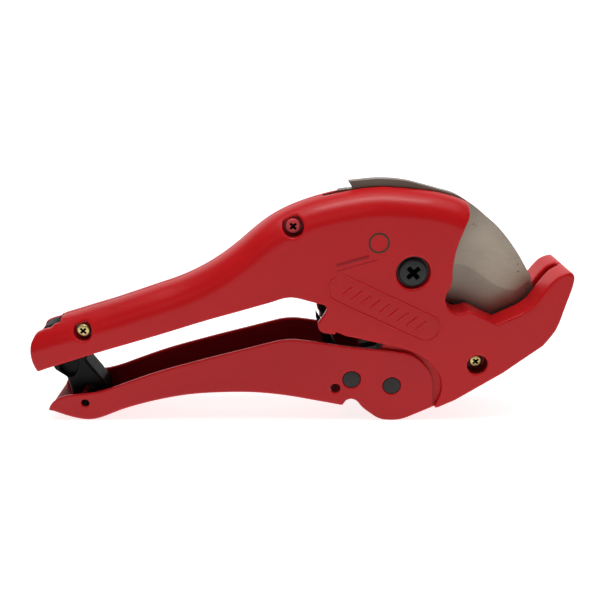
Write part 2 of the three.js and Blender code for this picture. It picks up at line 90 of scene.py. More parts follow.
def arc(c, r, a, b, n):
    return [pol(r, a + (b - a) * i / n, c) for i in range(n + 1)]


# ------------------------------------------------------------------ distance fields and their meshes
def poly_sd(points, X, Z):
    """Signed distance from each grid point to a closed outline, negative inside."""
    gx, gz = np.meshgrid(X, Z, indexing="ij")
    best = np.full(gx.shape, 1e18)
    inside = np.zeros(gx.shape, bool)
    n = len(points)
    for i in range(n):
        (ax, az), (bx, bz) = points[i], points[(i + 1) % n]
        ex, ez = bx - ax, bz - az
        ll = ex * ex + ez * ez
        if ll < 1e-12:
            continue
        t = np.clip(((gx - ax) * ex + (gz - az) * ez) / ll, 0, 1)
        dx, dz = gx - ax - t * ex, gz - az - t * ez
        best = np.minimum(best, dx * dx + dz * dz)
        if az != bz:
            cross = ((az > gz) != (bz > gz)) & (gx < (bx - ax) * (gz - az) / (bz - az) + ax)
            inside ^= cross
    return np.where(inside, -1, 1) * np.sqrt(best)


def circ_sd(c, r, X, Z):
    gx, gz = np.meshgrid(X, Z, indexing="ij")
    return np.hypot(gx - c[0], gz - c[1]) - r


def rmax(a, b, r):
    """Intersection with a rounded edge of radius r."""
    return np.minimum(-r, np.maximum(a, b)) + np.sqrt(np.maximum(r + a, 0) ** 2 + np.maximum(r + b, 0) ** 2)


def rmin(a, b, r):
    return -rmax(-a, -b, r)


def up(d2):
    return d2[:, None, :]


def sample(F, X, Y, Z, p):
    out = []
    idx, fr = [], []
    for A, q in ((X, p[:, 0]), (Y, p[:, 1]), (Z, p[:, 2])):
        i = np.clip(np.searchsorted(A, q) - 1, 0, len(A) - 2)
        idx.append(i)
        fr.append(np.clip((q - A[i]) / (A[i + 1] - A[i]), 0, 1))
    r = 0
    for a in (0, 1):
        for b in (0, 1):
            for c in (0, 1):
                w = (fr[0] if a else 1 - fr[0]) * (fr[1] if b else 1 - fr[1]) * (fr[2] if c else 1 - fr[2])
                r = r + w * F[idx[0] + a, idx[1] + b, idx[2] + c]
    return r


def nets(F, X, Y, Z, mirror=False, move=ORIGIN, widen=True):
    """Closed quad mesh of the field's zero surface, with its normals."""
    F = F.astype(np.float64)
    S = F < 0
    n = np.array(F.shape)
    cn = n - 1
    size = int(np.prod(cn))
    acc = np.zeros((3, size))
    cnt = np.zeros(size)
    axes = (X, Y, Z)
    quads = []
    cross = []
    for ax in range(3):
        lo = [slice(None)] * 3
        hi = [slice(None)] * 3
        lo[ax], hi[ax] = slice(0, -1), slice(1, None)
        A, B = S[tuple(lo)], S[tuple(hi)]
        e = np.argwhere(A != B)
        f0 = F[tuple(lo)][tuple(e.T)]
        f1 = F[tuple(hi)][tuple(e.T)]
        t = f0 / (f0 - f1)
        pos = np.stack([axes[k][e[:, k]] for k in range(3)], 1)
        g = axes[ax]
        pos[:, ax] = g[e[:, ax]] + t * (g[e[:, ax] + 1] - g[e[:, ax]])
        o = [k for k in range(3) if k != ax]
        ok4 = np.ones(len(e), bool)
        ids = []
        for da, db in ((1, 1), (0, 1), (0, 0), (1, 0)):
            c = e.copy()
            c[:, o[0]] -= da
            c[:, o[1]] -= db
            ok = ((c >= 0) & (c < cn)).all(1)
            ok4 &= ok
            flat = (c[:, 0] * cn[1] + c[:, 1]) * cn[2] + c[:, 2]
            ids.append(flat)
            for k in range(3):
                acc[k] += np.bincount(flat[ok], pos[ok, k], size)
            cnt += np.bincount(flat[ok], minlength=size)
        q = np.stack(ids, 1)[ok4]
        inside = A[tuple(e.T)][ok4]
        flip = ~inside if ax != 1 else inside
        q[flip] = q[flip][:, ::-1]
        quads.append(q)
    used = np.nonzero(cnt)[0]
    remap = np.full(size, -1)
    remap[used] = np.arange(len(used))
    v = (acc[:, used] / cnt[used]).T
    faces = remap[np.concatenate(quads)]
    G = np.gradient(F, X, Y, Z)
    step = 0.35 * min(np.diff(X).min(), np.diff(Z).min())
    for _ in range(2):
        f = sample(F, X, Y, Z, v)
        g = np.stack([sample(q, X, Y, Z, v) for q in G], 1)
        m = (g ** 2).sum(1)
        d = -(f / np.maximum(m, 0.25))[:, None] * g
        l = np.linalg.norm(d, axis=1, keepdims=True)
        v = v + d * np.minimum(1, step / np.maximum(l, 1e-9))
    g = np.stack([sample(q, X, Y, Z, v) for q in G], 1)
    nor = g / np.maximum(np.linalg.norm(g, axis=1, keepdims=True), 1e-9)
    if mirror:
        v[:, 1] *= -1
        nor[:, 1] *= -1
        faces = faces[:, ::-1]
    if widen:
        v = v * (1, WIDEN, 1)
        nor = nor / (1, WIDEN, 1)
        nor /= np.linalg.norm(nor, axis=1, keepdims=True)
    return (v + move) / 1000, faces, nor


def mesh_object(name, verts, faces, normals=None, body=None, replaces=(), material=None):
    me = bpy.data.meshes.new(name)
    me.from_pydata([tuple(map(float, v)) for v in verts], [], [tuple(map(int, f)) for f in faces])
    me.validate()
    me.update()
    ob = bpy.data.objects.new(name, me)
    bpy.context.scene.collection.objects.link(ob)
    me.polygons.foreach_set("use_smooth", [True] * len(me.polygons))
    if normals is not None and len(me.vertices) == len(normals):
        me.normals_split_custom_set_from_vertices([tuple(map(float, q)) for q in normals])
    if material:
        me.materials.append(material)
    if body:
        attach(ob, body)
    if replaces:
        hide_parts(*replaces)
    return ob


def by_angle(ob, deg=30):
    me = ob.data
    bm = bmesh.new()
    bm.from_mesh(me)
    for f in bm.faces:
        f.smooth = True
    for e in bm.edges:
        e.smooth = not (len(e.link_faces) == 2 and e.calc_face_angle(0) > math.radians(deg))
    bm.to_mesh(me)
    bm.free()


def rings_mesh(rings, cap=True):
    """Verts and faces through rings [(y, [(x, z)...])...]."""
    n = len(rings[0][1])
    v, f = [], []
    for y, ring in rings:
        v += [(x, y, z) for x, z in ring]
    for k in range(len(rings) - 1):
        for i in range(n):
            j = (i + 1) % n
            f.append((k * n + i, k * n + j, (k + 1) * n + j, (k + 1) * n + i))
    if cap:
        f.append(tuple(range(n))[::-1])
        f.append(tuple((len(rings) - 1) * n + i for i in range(n)))
    return v, f


def to_m(v):
    return (np.array(v, float) * (1, WIDEN, 1) + ORIGIN) / 1000


def tidy(ob):
    bm = bmesh.new()
    bm.from_mesh(ob.data)
    bmesh.ops.recalc_face_normals(bm, faces=bm.faces)
    bm.to_mesh(ob.data)
    bm.free()


def offset_ring(points, d):
    """Each point moved inwards by d (a number, or one for each point) along the outline's normal."""
    p = np.array(points, float)
    a, b = np.roll(p, 1, 0), np.roll(p, -1, 0)
    u = (p - a) / np.maximum(np.linalg.norm(p - a, axis=1, keepdims=True), 1e-9)
    w = (b - p) / np.maximum(np.linalg.norm(b - p, axis=1, keepdims=True), 1e-9)
    t = u + w
    t /= np.maximum(np.linalg.norm(t, axis=1, keepdims=True), 1e-9)
    nrm = np.stack([-t[:, 1], t[:, 0]], 1)
    area = 0.5 * np.sum(p[:, 0] * b[:, 1] - b[:, 0] * p[:, 1])
    if area < 0:
        nrm = -nrm
    cosh = np.clip((nrm * np.stack([-w[:, 1], w[:, 0]], 1) * (1 if area > 0 else -1)).sum(1), 0.5, 1)
    return [tuple(q) for q in p + nrm * (np.broadcast_to(d, len(p)) / cosh)[:, None]]


def prism_mesh(name, outline, y0, y1, r, body, replaces=(), material=None, steps=3, holes=()):
    """Plate with rounded edges of radius r."""
    lv = [(y0 + r * (1 - math.sin(t)), r * (1 - math.cos(t))) for t in np.linspace(math.pi / 2, 0, steps + 1)]
    lv += [(y1 - r * (1 - math.sin(t)), r * (1 - math.cos(t))) for t in np.linspace(0, math.pi / 2, steps + 1)]
    v, f = rings_mesh([(y, offset_ring(outline, d)) for y, d in lv])
    ob = mesh_object(name, to_m(v), f, None, None, (), material)
    tidy(ob)
    for c, hr in holes:
        cut_round(ob, c, hr, y0 - 1, y1 + 1)
    by_angle(ob, 32)
    if body:
        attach(ob, body)
    if replaces:
        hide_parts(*replaces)
    return ob


def cut_round(ob, c, r, y0, y1, n=48):
    ring = [pol(r, 360 * i / n, c) for i in range(n)]
    v, f = rings_mesh([(y0, ring), (y1, ring)])
    boolean(ob, to_m(v), f, "DIFFERENCE")


def boolean(ob, v, f, op):
    tool = mesh_object("tool", v, f)
    tidy(tool)
    m = ob.modifiers.new("cut", "BOOLEAN")
    m.operation = op
    m.solver = "EXACT"
    m.object = tool
    dg = bpy.context.evaluated_depsgraph_get()
    me = bpy.data.meshes.new_from_object(ob.evaluated_get(dg))
    ob.modifiers.clear()
    old = ob.data
    ob.data = me
    bpy.data.meshes.remove(old)
    t = tool.data
    bpy.data.objects.remove(tool)
    bpy.data.meshes.remove(t)


# ------------------------------------------------------------------ materials
def new_mat(name):
    m = bpy.data.materials.new(name)
    m.use_nodes = True
    nt = m.node_tree
    return m, nt, nt.nodes["Principled BSDF"]


def node(nt, kind, **props):
    n = nt.nodes.new(kind)
    for k, val in props.items():
        if k in n.inputs:
            n.inputs[k].default_value = val
        else:
            setattr(n, k, val)
    return n


def coords(nt, scale=(1, 1, 1), rot=(0, 0, 0)):
    tc = nt.nodes.new("ShaderNodeTexCoord")
    mp = nt.nodes.new("ShaderNodeMapping")
    mp.inputs["Scale"].default_value = scale
    mp.inputs["Rotation"].default_value = rot
    nt.links.new(tc.outputs["Object"], mp.inputs["Vector"])
    return mp.outputs["Vector"]


def noise(nt, vec, scale, detail=3.0, rough=0.55):
    n = nt.nodes.new("ShaderNodeTexNoise")
    n.inputs["Scale"].default_value = scale
    n.inputs["Detail"].default_value = detail
    n.inputs["Roughness"].default_value = rough
    nt.links.new(vec, n.inputs["Vector"])
    return n.outputs["Fac"]


def ramp(nt, fac, stops):
    r = nt.nodes.new("ShaderNodeValToRGB")
    e = r.color_ramp.elements
    while len(e) < len(stops):
        e.new(0.5)
    for el, (pos, col) in zip(e, stops):
        el.position = pos
        el.color = (*col, 1)
    nt.links.new(fac, r.inputs["Fac"])
    return r.outputs["Color"]


def mixc(nt, fac, a, b, mode="MIX"):
    m = nt.nodes.new("ShaderNodeMix")
    m.data_type = "RGBA"
    m.blend_type = mode
    for sock, val in ((m.inputs[0], fac), (m.inputs[6], a), (m.inputs[7], b)):
        if isinstance(val, bpy.types.NodeSocket):
            nt.links.new(val, sock)
        elif isinstance(val, (int, float)):
            sock.default_value = val
        else:
            sock.default_value = (*val, 1)
    return m.outputs[2]


def remap(nt, fac, lo, hi, a=0.0, b=1.0):
    m = nt.nodes.new("ShaderNodeMapRange")
    m.inputs["From Min"].default_value = a
    m.inputs["From Max"].default_value = b
    m.inputs["To Min"].default_value = lo
    m.inputs["To Max"].default_value = hi
    nt.links.new(fac, m.inputs["Value"])
    return m.outputs["Result"]


def bump(nt, bsdf, height, dist, strength=1.0, normal=None):
    b = nt.nodes.new("ShaderNodeBump")
    b.inputs["Strength"].default_value = strength
    b.inputs["Distance"].default_value = dist
    nt.links.new(height, b.inputs["Height"])
    if normal is not None:
        nt.links.new(normal, b.inputs["Normal"])
    nt.links.new(b.outputs["Normal"], bsdf.inputs["Normal"])
    return b.outputs["Normal"]


def paint(name, base=(0.51, 0.0064, 0.0092), rough=0.36):
    m, nt, b = new_mat(name)
    v = coords(nt)
    big = noise(nt, v, 28, 3)
    fine = noise(nt, v, 900, 2)
    dust = noise(nt, v, 2600, 1)
    col = ramp(nt, big, [(0.3, tuple(c * 0.94 for c in base)), (0.7, tuple(min(1, c * 1.06) for c in base))])
    speck = ramp(nt, dust, [(0.70, (0, 0, 0)), (0.78, (1, 1, 1))])
    col = mixc(nt, remap(nt, speck, 0, 0.05), col, (0.75, 0.20, 0.18))
    nt.links.new(col, b.inputs["Base Color"])
    nt.links.new(remap(nt, big, rough - 0.05, rough + 0.07, 0.3, 0.7), b.inputs["Roughness"])
    b.inputs["Specular IOR Level"].default_value = 0.12
    n1 = bump(nt, b, fine, 0.00006, 0.35)
    bump(nt, b, dust, 0.00002, 0.35, n1)
    b.inputs["Coat Weight"].default_value = 0.2
    b.inputs["Coat Roughness"].default_value = 0.2
    return m


def blade_steel(name, hatch):
    m, nt, b = new_mat(name)
    v = coords(nt)
    brushed = noise(nt, coords(nt, (1, 1, 1), (0, math.radians(-40), 0)), 60, 5)
    streak = noise(nt, coords(nt, (300, 300, 3000), (0, math.radians(35), 0)), 1.0, 3)
    big = noise(nt, v, 35, 4)
    spots = noise(nt, v, 300, 3, 0.5)
    col = ramp(nt, big, [(0.3, (0.29, 0.245, 0.19)), (0.55, (0.34, 0.29, 0.23)), (0.75, (0.385, 0.335, 0.272))])
    col = mixc(nt, remap(nt, streak, 0.0, 0.3, 0.35, 0.7), col, (0.42, 0.37, 0.305))
    # painted shade: darker towards the pivot end (object X)
    sep = nt.nodes.new("ShaderNodeSeparateXYZ")
    nt.links.new(v, sep.inputs[0])
    col = mixc(nt, remap(nt, sep.outputs["X"], 0.8, 0.0, 0.045, 0.082), col, (0.10, 0.075, 0.062))
    dots = ramp(nt, spots, [(0.69, (0, 0, 0)), (0.74, (1, 1, 1))])
    col = mixc(nt, remap(nt, dots, 0, 0.8), col, (0.05, 0.04, 0.035))
    b.inputs["Metallic"].default_value = 0.75
    nt.links.new(remap(nt, brushed, 0.36, 0.5, 0.3, 0.7), b.inputs["Roughness"])
    if hatch:
        w = nt.nodes.new("ShaderNodeTexWave")
        w.wave_type = "BANDS"
        w.bands_direction = "X"
        w.inputs["Scale"].default_value = 420
        w.inputs["Distortion"].default_value = 0.6
        w.inputs["Detail"].default_value = 1.0
        nt.links.new(coords(nt, (1, 1, 1), (0, math.radians(52), 0)), w.inputs["Vector"])
        col = mixc(nt, 0.2, col, (0.16, 0.14, 0.12))
        w2 = nt.nodes.new("ShaderNodeTexWave")
        w2.wave_type = "BANDS"
        w2.bands_direction = "X"
        w2.inputs["Scale"].default_value = 420
        w2.inputs["Distortion"].default_value = 0.5
        nt.links.new(coords(nt, (1, 1, 1), (0, math.radians(-38), 0)), w2.inputs["Vector"])
        both = nt.nodes.new("ShaderNodeMath")
        both.operation = "MULTIPLY"
        nt.links.new(w.outputs["Fac"], both.inputs[0])
        nt.links.new(w2.outputs["Fac"], both.inputs[1])
        col = mixc(nt, remap(nt, both.outputs[0], 0.0, 0.6), col, (0.10, 0.085, 0.075))
        n1 = bump(nt, b, w.outputs["Fac"], 0.00006, 0.6)
        bump(nt, b, streak, 0.00003, 0.4, n1)
    else:
        bump(nt, b, streak, 0.00002, 0.45)
    nt.links.new(col, b.inputs["Base Color"])
    return m


def steel(name, base, rough=0.38, metal=0.9, streaks=True, spotted=0.0):
    m, nt, b = new_mat(name)
    v = coords(nt)
    big = noise(nt, v, 160, 3)
    fine = noise(nt, v, 1500, 2)
    col = ramp(nt, big, [(0.3, tuple(c * 0.8 for c in base)), (0.7, tuple(min(1, c * 1.2) for c in base))])
    nt.links.new(col, b.inputs["Base Color"])
    b.inputs["Metallic"].default_value = metal
    nt.links.new(remap(nt, fine, rough - 0.08, rough + 0.12, 0.3, 0.7), b.inputs["Roughness"])
    bump(nt, b, fine, 0.00003, 0.4)
    return m


def plastic(name):
    m, nt, b = new_mat(name)
    v = coords(nt)
    fine = noise(nt, v, 1400, 3)
    big = noise(nt, v, 70, 2)
    nt.links.new(ramp(nt, big, [(0.3, (0.003, 0.003, 0.0033)), (0.7, (0.006, 0.006, 0.0064))]), b.inputs["Base Color"])
    nt.links.new(remap(nt, fine, 0.36, 0.5, 0.3, 0.7), b.inputs["Roughness"])
    b.inputs["Specular IOR Level"].default_value = 0.12
    bump(nt, b, fine, 0.00004, 0.4)
    return m


def zinc(name):
    m, nt, b = new_mat(name)
    v = coords(nt)
    big = noise(nt, v, 420, 3)
    nt.links.new(ramp(nt, big, [(0.25, (0.42, 0.40, 0.20)), (0.5, (0.66, 0.52, 0.20)), (0.75, (0.60, 0.36, 0.20))]), b.inputs["Base Color"])
    b.inputs["Metallic"].default_value = 0.9
    nt.links.new(remap(nt, big, 0.25, 0.4, 0.3, 0.7), b.inputs["Roughness"])
    bump(nt, b, noise(nt, v, 2500, 2), 0.00002, 0.4)
    return m


RED = paint("red_paint")
# darker red for the screw recesses: painted shade
RED_PAINTED_SHADE = paint("red_paint_recess_painted_shade", (0.20, 0.004, 0.006), 0.4)
# darker red for the inside of the handle's channel: painted shade
HANDLE_INSIDE_PAINTED_SHADE = paint("red_paint_inside_painted_shade", (0.21, 0.006, 0.011), 0.42)
RED_HANDLE = paint("red_paint_handle", (0.46, 0.0068, 0.0100), 0.34)
RED_SCREW = paint("red_paint_screw", (0.55, 0.05, 0.06), 0.3)
# near-black for the shells' inner bays: painted shade
INSIDE_PAINTED_SHADE = steel("cast_inside_painted_shade", (0.022, 0.012, 0.012), 0.55, 0.2)
BLADE = blade_steel("blade_steel", False)
BEVEL = blade_steel("blade_bevel", True)
BLACK = steel("black_oxide", (0.0075, 0.0085, 0.009), 0.4, 0.25)
RIVET = steel("rivet_steel", (0.018, 0.0145, 0.0145), 0.42, 0.5)
PAWL = steel("pawl_steel", (0.03, 0.03, 0.032), 0.42, 0.7)
STEEL = steel("plain_steel", (0.45, 0.44, 0.42), 0.3, 1.0)
SPRING = steel("spring_steel", (0.30, 0.30, 0.30), 0.3, 1.0)
ZINC = zinc("yellow_zinc")
LATCH = plastic("black_plastic")
# near-black catch pin, coloured as the dark hole it sits in: painted shade
PIN_PAINTED_SHADE = steel("pin_painted_hole_shade", (0.004, 0.003, 0.003), 0.7, 0.1)
# near-black for the screws' driver crosses: painted shade
CROSS_PAINTED_SHADE = steel("driver_recess_painted_shade", (0.0015, 0.001, 0.001), 0.9, 0.0)
for dark in (CROSS_PAINTED_SHADE, PIN_PAINTED_SHADE):
    dark.node_tree.nodes["Principled BSDF"].inputs["Specular IOR Level"].default_value = 0.03

# ------------------------------------------------------------------ cast shells
hu, hn = (0.799, 0.601), (-0.601, 0.799)


def hp(a, b):
    return (SHOULDER[0] + hu[0] * a + hn[0] * b, SHOULDER[1] + hu[1] * a + hn[1] * b)


HOLD_BAY = [hp(-5, 2.6), hp(-2.5, 4.3), hp(6, 3.6), hp(12, 1.9), hp(15.6, 0.5), hp(18.2, -0.6), hp(22, -3), hp(14, -6), hp(5, -5.5), hp(-2, -5), hp(-5, -2.4)]

REST = (
    [(-158.4, -44.8)] + cr([(-158.8, -44.0), (-159.9, -41.0), (-160.4, -37.0), (-160.2, -32.4), (-158.9, -29.2)], 4)
    + cr([(-158.0, -28.4), (-155.2, -27.2), (-152.6, -26.6)], 4) + [(-151.6, -25.8), (-150.8, -24.4), (-149.8, -22.4)]
    + [(-149.2, 60), (24.0, 60), (22.8, 30.0)]
    + cr([(22.3, 27.1), (21.8, 23.0), (19.8, 19.0), (17.9, 13.7), (16.7, 9.0), (15.9, 1.3), (16.1, -4.0), (15.2, -7.4), (14.0, -9.8), (14.1, -12.7), (15.8, -15.7), (18.7, -17.6), (21.5, -17.6), (23.6, -16.7), (25.9, -17.2)], 5)[:-1]
    + [(26.3, -17.4), (36.3, -22.4), (36.7, -22.4)]
    + cr([(46.6, -17.45), (50.1, -14.5), (53.4, -9.5), (56.6, -4.5), (59.0, -1.8), (61.6, -0.4), (64.1, 0.0), (65.5, -1.4), (65.7, -4.6), (63.9, -13.9), (61.4, -24.7), (59.4, -28.5), (56.7, -32.6)], 5)
    + [(47.4, -40.2), (41.1, -45.4), (21.5, -58.6), (14.7, -62.0), (8.0, -64.4)]
    + arc(H, 12.4, -72, -216, 30)
    + [(-20.5, -38.0), (-24.0, -32.0), (-27.0, -28.0), (-35.6, -26.8)]
    + cr([(-36.4, -26.6), (-37.9, -25.4), (-38.7, -22.6)], 4) + cr([(-38.2, -21.6), (-36.6, -19.4), (-35.3, -17.1), (-35.0, -15.4), (-35.9, -14.2), (-38.5, -13.5)], 4)
    + cr([(-40.0, -13.1), (-48.4, -10.9), (-51.7, -11.0), (-58.4, -13.1), (-71.7, -17.1), (-85.2, -21.1), (-105.8, -27.8), (-133.6, -36.4), (-153.1, -42.9)], 4)
)
STEP = 0.6


def grid(a, b, h):
    return np.arange(a, b + h, h)


SX, SZ = grid(-162.3, 67.6, STEP), grid(-66.6, 37.2, STEP)
SY = np.concatenate([[-0.6, -0.25, 0.0, 0.25, 0.55, 0.9, 1.3], np.arange(1.7, 9.3, 0.62), [9.4, 9.8, 10.15, 10.5, 10.85, 11.15, 11.4, 11.65, 12.0]])
d_rest = poly_sd(REST, SX, SZ)
top_curve = [(-206, -40.6)] + cr(TOP, 5) + [(30.0, 22.3), (110.0, -25.4)]
t_top = poly_sd(top_curve + [(110, -190), (-206, -190)], SX, SZ)
gx, _ = np.meshgrid(SX, SZ, indexing="ij")
t_top = np.where(gx > 23.5, -60, t_top)
d_pocket = poly_sd([(-31.0, -26.0)] + cr(POCKET[1:], 5) + [(14.6, -76.0), (-31.0, -76.0)], SX, SZ)
slot2 = np.minimum.reduce([
    circ_sd((0, 0), 46.6, SX, SZ),
    poly_sd([(0, 0)] + arc((0, 0), 56.4, -46, -30, 10) + arc((0, 0), 62.6, -28, -0.5, 20), SX, SZ),
    poly_sd([(-36.4, 20), (-36.4, 45), (26, 45), (26, 20)], SX, SZ),
    poly_sd(HOLD_BAY, SX, SZ)])
bay2 = poly_sd(PAWL_BAY, SX, SZ)
notch2 = poly_sd(NOTCH_BAY, SX, SZ)
lip2 = poly_sd(LIP_BAY, SX, SZ)
latch2 = poly_sd(LATCH_SLOT, SX, SZ)
hollow2 = poly_sd(HOLLOW, SX, SZ)
y3 = SY[None, :, None]


def shell(name, near, node_name):
    s = TOP_DROP / HALF
    q = up(t_top) + TOP_DROP
    f_side = np.sqrt((y3 * s) ** 2 + np.maximum(q, 0) ** 2) - TOP_DROP
    F = rmax(np.broadcast_to(up(d_rest), (len(SX), len(SY), len(SZ))), f_side, 0.6)
    outer = F
    outer_flat = np.broadcast_to(y3 - HALF, F.shape)

    def take(F, d2, depth, r):
        return rmax(F, -np.maximum(up(d2), depth), r)

    F = take(F, d_pocket, 9.7 - y3, 0.35)
    F = take(F, slot2, y3 - 1.7, 0.3)
    F = take(F, bay2, y3 - 3.2, 0.3)
    F = take(F, latch2, y3 - 4.9, 0.3)
    F = rmax(F, -np.maximum(np.maximum(up(notch2), y3 - 9.2), outer_flat + 1.6), 0.3)
    F = rmax(F, -np.broadcast_to(up(lip2), F.shape), 0.2)
    F = rmax(F, -np.maximum(np.maximum(up(hollow2), y3 - 8.2), outer + 2.0), 0.3)
    if near:
        for c, r, d in (((0, 0), 6.95, 9.35), (END_SCREW, 3.95, 7.8), (SHOULDER, 4.25, 7.2), (JAW_SCREW, 4.35, 6.6)):
            F = take(F, circ_sd(c, r, SX, SZ), d - y3, 0.45)
    else:
        hexa = [pol(6.2, 60 * i + 90) for i in range(6)]
        F = take(F, poly_sd(hexa, SX, SZ), 8.3 - y3, 0.4)
    F = rmax(F, np.broadcast_to(0.12 - y3, F.shape), 0.3)
    v, f, n = nets(F, SX, SY, SZ, mirror=near)
    ob = mesh_object(name, v, f, n, "housing", (node_name,), RED)
    ob.data.materials.append(INSIDE_PAINTED_SHADE)
    c = np.array([tuple(q.center) for q in ob.data.polygons])
    c = (c * 1000 - ORIGIN) / (1, WIDEN, 1)
    c[:, 1] = np.abs(c[:, 1])
    # faces inside the bays and slots get the near-black material: painted shade
    deep_shade = (sample(outer, SX, SY, SZ, c) < -0.55) & (c[:, 1] < 9.3) & (c[:, 0] < 47.5)
    index = deep_shade.astype(np.int32)
    ob.data.materials.append(RED_PAINTED_SHADE)
    if near:
        below = sample(outer, SX, SY, SZ, c) < -0.5
        # recess faces around the near screws get the darker red: painted shade
        for at, r, d in ((END_SCREW, 4.4, 7.3), (SHOULDER, 4.7, 6.7), (JAW_SCREW, 4.8, 6.1)):
            index[(np.hypot(c[:, 0] - at[0], c[:, 2] - at[1]) < r) & (c[:, 1] > d) & below] = 2
    ob.data.polygons.foreach_set("material_index", index)
    return ob


near_shell = shell("near_shell_cast", True, "near_housing")
far_shell = shell("far_shell_cast", False, "far_housing")


# ------------------------------------------------------------------ blade
def make_blade():
    spine = cr(SPINE, 4)[::-1]
    edge = cr(EDGE, 4)[::-1]
    teeth = []
    for i in range(10):
        at = 127 + 7.5 * i
        teeth += [pol(44.05, at + 0.02), pol(43.2, at + 0.12), pol(41.2, at + 0.3), pol(40.8, at + 0.7), pol(41.3, at + 2.0)]
        for k in (3.6, 5.4, 6.9):
            teeth.append(pol(40.8 + 3.4 * (k / 7.5) ** 1.15, at + k))
    teeth = teeth[:-3]
    teeth[0] = (-26.5, 35.15)
    last = 127 + 67.5
    back = [pol(36, last + 4), pol(24, last + 7), pol(14, last + 14), (-8.5, -11.0), (1.0, -13.2)]
    full = edge + spine + teeth + back
    ne = len(edge)
    bevel_line = cr([(52.75, -8.9), (51.0, -7.0), (49.4, -8.6), (47.4, -10.6), (45.3, -11.6), (37.3, -9.3), (28.2, -3.0), (19.9, 0.3), (13.0, -4.5), (9.0, -8.0)], 6)[::-1]
    L = np.array(bevel_line)
    s = np.concatenate([[0], np.cumsum(np.linalg.norm(np.diff(L, axis=0), axis=1))])
    E = np.array(edge)
    se = np.concatenate([[0], np.cumsum(np.linalg.norm(np.diff(E, axis=0), axis=1))])
    inner = [(float(np.interp(a * s[-1] / se[-1], s, L[:, 0])), float(np.interp(a * s[-1] / se[-1], s, L[:, 1]))) for a in se]
    rest = full[ne:]
    ring_in = offset_ring(full, 0.18)
    thin = inner + ring_in[ne:]
    mid = inner + rest
    h = 1.25
    n = len(full)
    v, f = [], []
    # near face, near bevel foot, edge, and the same on the far side
    layers = [(-h, thin), (-h + 0.16, mid), (-0.10, full), (0.10, full), (h - 0.16, mid), (h, thin)]
    for k, (y, ring) in enumerate(layers):
        for i, (x, z) in enumerate(ring):
            yy = y
            if i < ne and k in (1, 4):
                yy = -h + 0.16 if k == 1 else h - 0.16
                a = 0.13
                x, z = ring[i][0] * (1 - a) + full[i][0] * a, ring[i][1] * (1 - a) + full[i][1] * a
            v.append((x, yy, z))
    for k in range(5):
        for i in range(n):
            j = (i + 1) % n
            f.append((k * n + i, k * n + j, (k + 1) * n + j, (k + 1) * n + i))
    f.append(tuple(range(n))[::-1])
    f.append(tuple(5 * n + i for i in range(n)))
    ob = mesh_object("fan_blade", to_m(v), f, None, None, (), BLADE)
    ob.data.materials.append(BEVEL)
    tidy(ob)
    cut_round(ob, (0, 0), 4.2, -5, 5, 64)
    by_angle(ob, 12)
    # the ground bevel has its own finish
    for p in ob.data.polygons:
        c = p.center * 1000 - Vector(ORIGIN)
        if 0.02 < abs(p.normal.y) < 0.9995 and c.x > 8 and c.z < 2 and abs(p.normal.y) > 0.8:
            p.material_index = 1
    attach(ob, "blade_body")
    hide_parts("blade")
    return ob


blade = make_blade()

# ------------------------------------------------------------------ lower handle
WALL_TOP = (cr([(-156.1, -63.5), (-154.9, -60.9), (-152.1, -58.3), (-148.4, -56.6), (-142.7, -55.8), (-135.6, -55.0), (-128.5, -53.0), (-121.3, -50.2), (-107.0, -44.9), (-86.1, -38.7), (-65.5, -33.1), (-58.6, -31.2), (-54.2, -30.1), (-49.3, -29.7), (-45.1, -30.0), (-24.8, -33.1), (-4.3, -35.4), (1.3, -36.7), (5.9, -40.0), (8.8, -43.7), (10.8, -48.0), (11.4, -53.6)], 4)
            + [(11.6, -57.5), (11.7, -61.8)]
            + cr([(5.1, -65.0), (-0.9, -67.7), (-5.6, -68.4), (-11.1, -67.6), (-15.6, -64.6), (-19.1, -61.6), (-20.8, -59.3), (-22.5, -58.1), (-24.2, -57.9), (-25.8, -58.6), (-27.6, -61.2)], 4))
BELLY = cr([(-27.8, -61.4), (-38.1, -59.3), (-52.1, -56.6), (-66.0, -55.1), (-79.9, -55.1), (-93.9, -56.1), (-108.0, -58.8), (-122.4, -63.0), (-134.3, -67.8), (-137.9, -68.5), (-141.4, -68.4), (-147.5, -66.9), (-154.2, -64.3)], 5)


def make_handle():
    X, Z = grid(-158.2, 13.9, 0.55), grid(-70.6, -27.6, 0.55)
    half = np.concatenate([np.arange(0.6, 9.0, 1.2), [9.2, 9.5, 9.8, 10.05, 10.35, 10.7, 11.0, 11.25, 11.45, 11.7, 12.1]])
    Y = np.concatenate([-half[::-1], half])
    y = np.abs(Y)[None, :, None]
    outline = WALL_TOP + BELLY
    d_wall = poly_sd(outline, X, Z)
    d_belly = poly_sd(BELLY[::-1] + [(-27.0, -61.6), (-26.0, -110), (80, -110), (80, 60), (-230, 60), (-230, -64.6), (-156.4, -63.9)], X, Z)
    shape = (len(X), len(Y), len(Z))

    def wide(a):
        return np.broadcast_to(a, shape)

    outer = np.maximum(rmax(wide(up(d_belly)), y - HALF, 1.5), rmax(wide(up(d_wall)), y - HALF, 0.35))
    inner = rmax(wide(up(d_belly) + 1.5), y - 10.0, 0.7)
    F = rmax(outer, -inner, 0.25)
    for c, r in ((H, 3.95), (P, 3.95), (SPRING_HOLE, 2.2), (CATCH, 1.8)):
        F = rmax(F, -wide(up(circ_sd(c, r, X, Z))), 0.2)
    v, f, n = nets(F, X, Y, Z)
    out = mesh_object("lower_handle_sheet", v, f, n, "handle_body", ("lower_handle",), RED_HANDLE)
    out.data.materials.append(HANDLE_INSIDE_PAINTED_SHADE)
    c = np.array([tuple(q.center) for q in out.data.polygons])
    c = (c * 1000 - ORIGIN) / (1, WIDEN, 1)
    # faces inside the channel get the darker red: painted shade
    inside = (sample(outer, X, Y, Z, c) < -0.9)
    out.data.polygons.foreach_set("material_index", inside.astype(np.int32))
    return out


handle = make_handle()


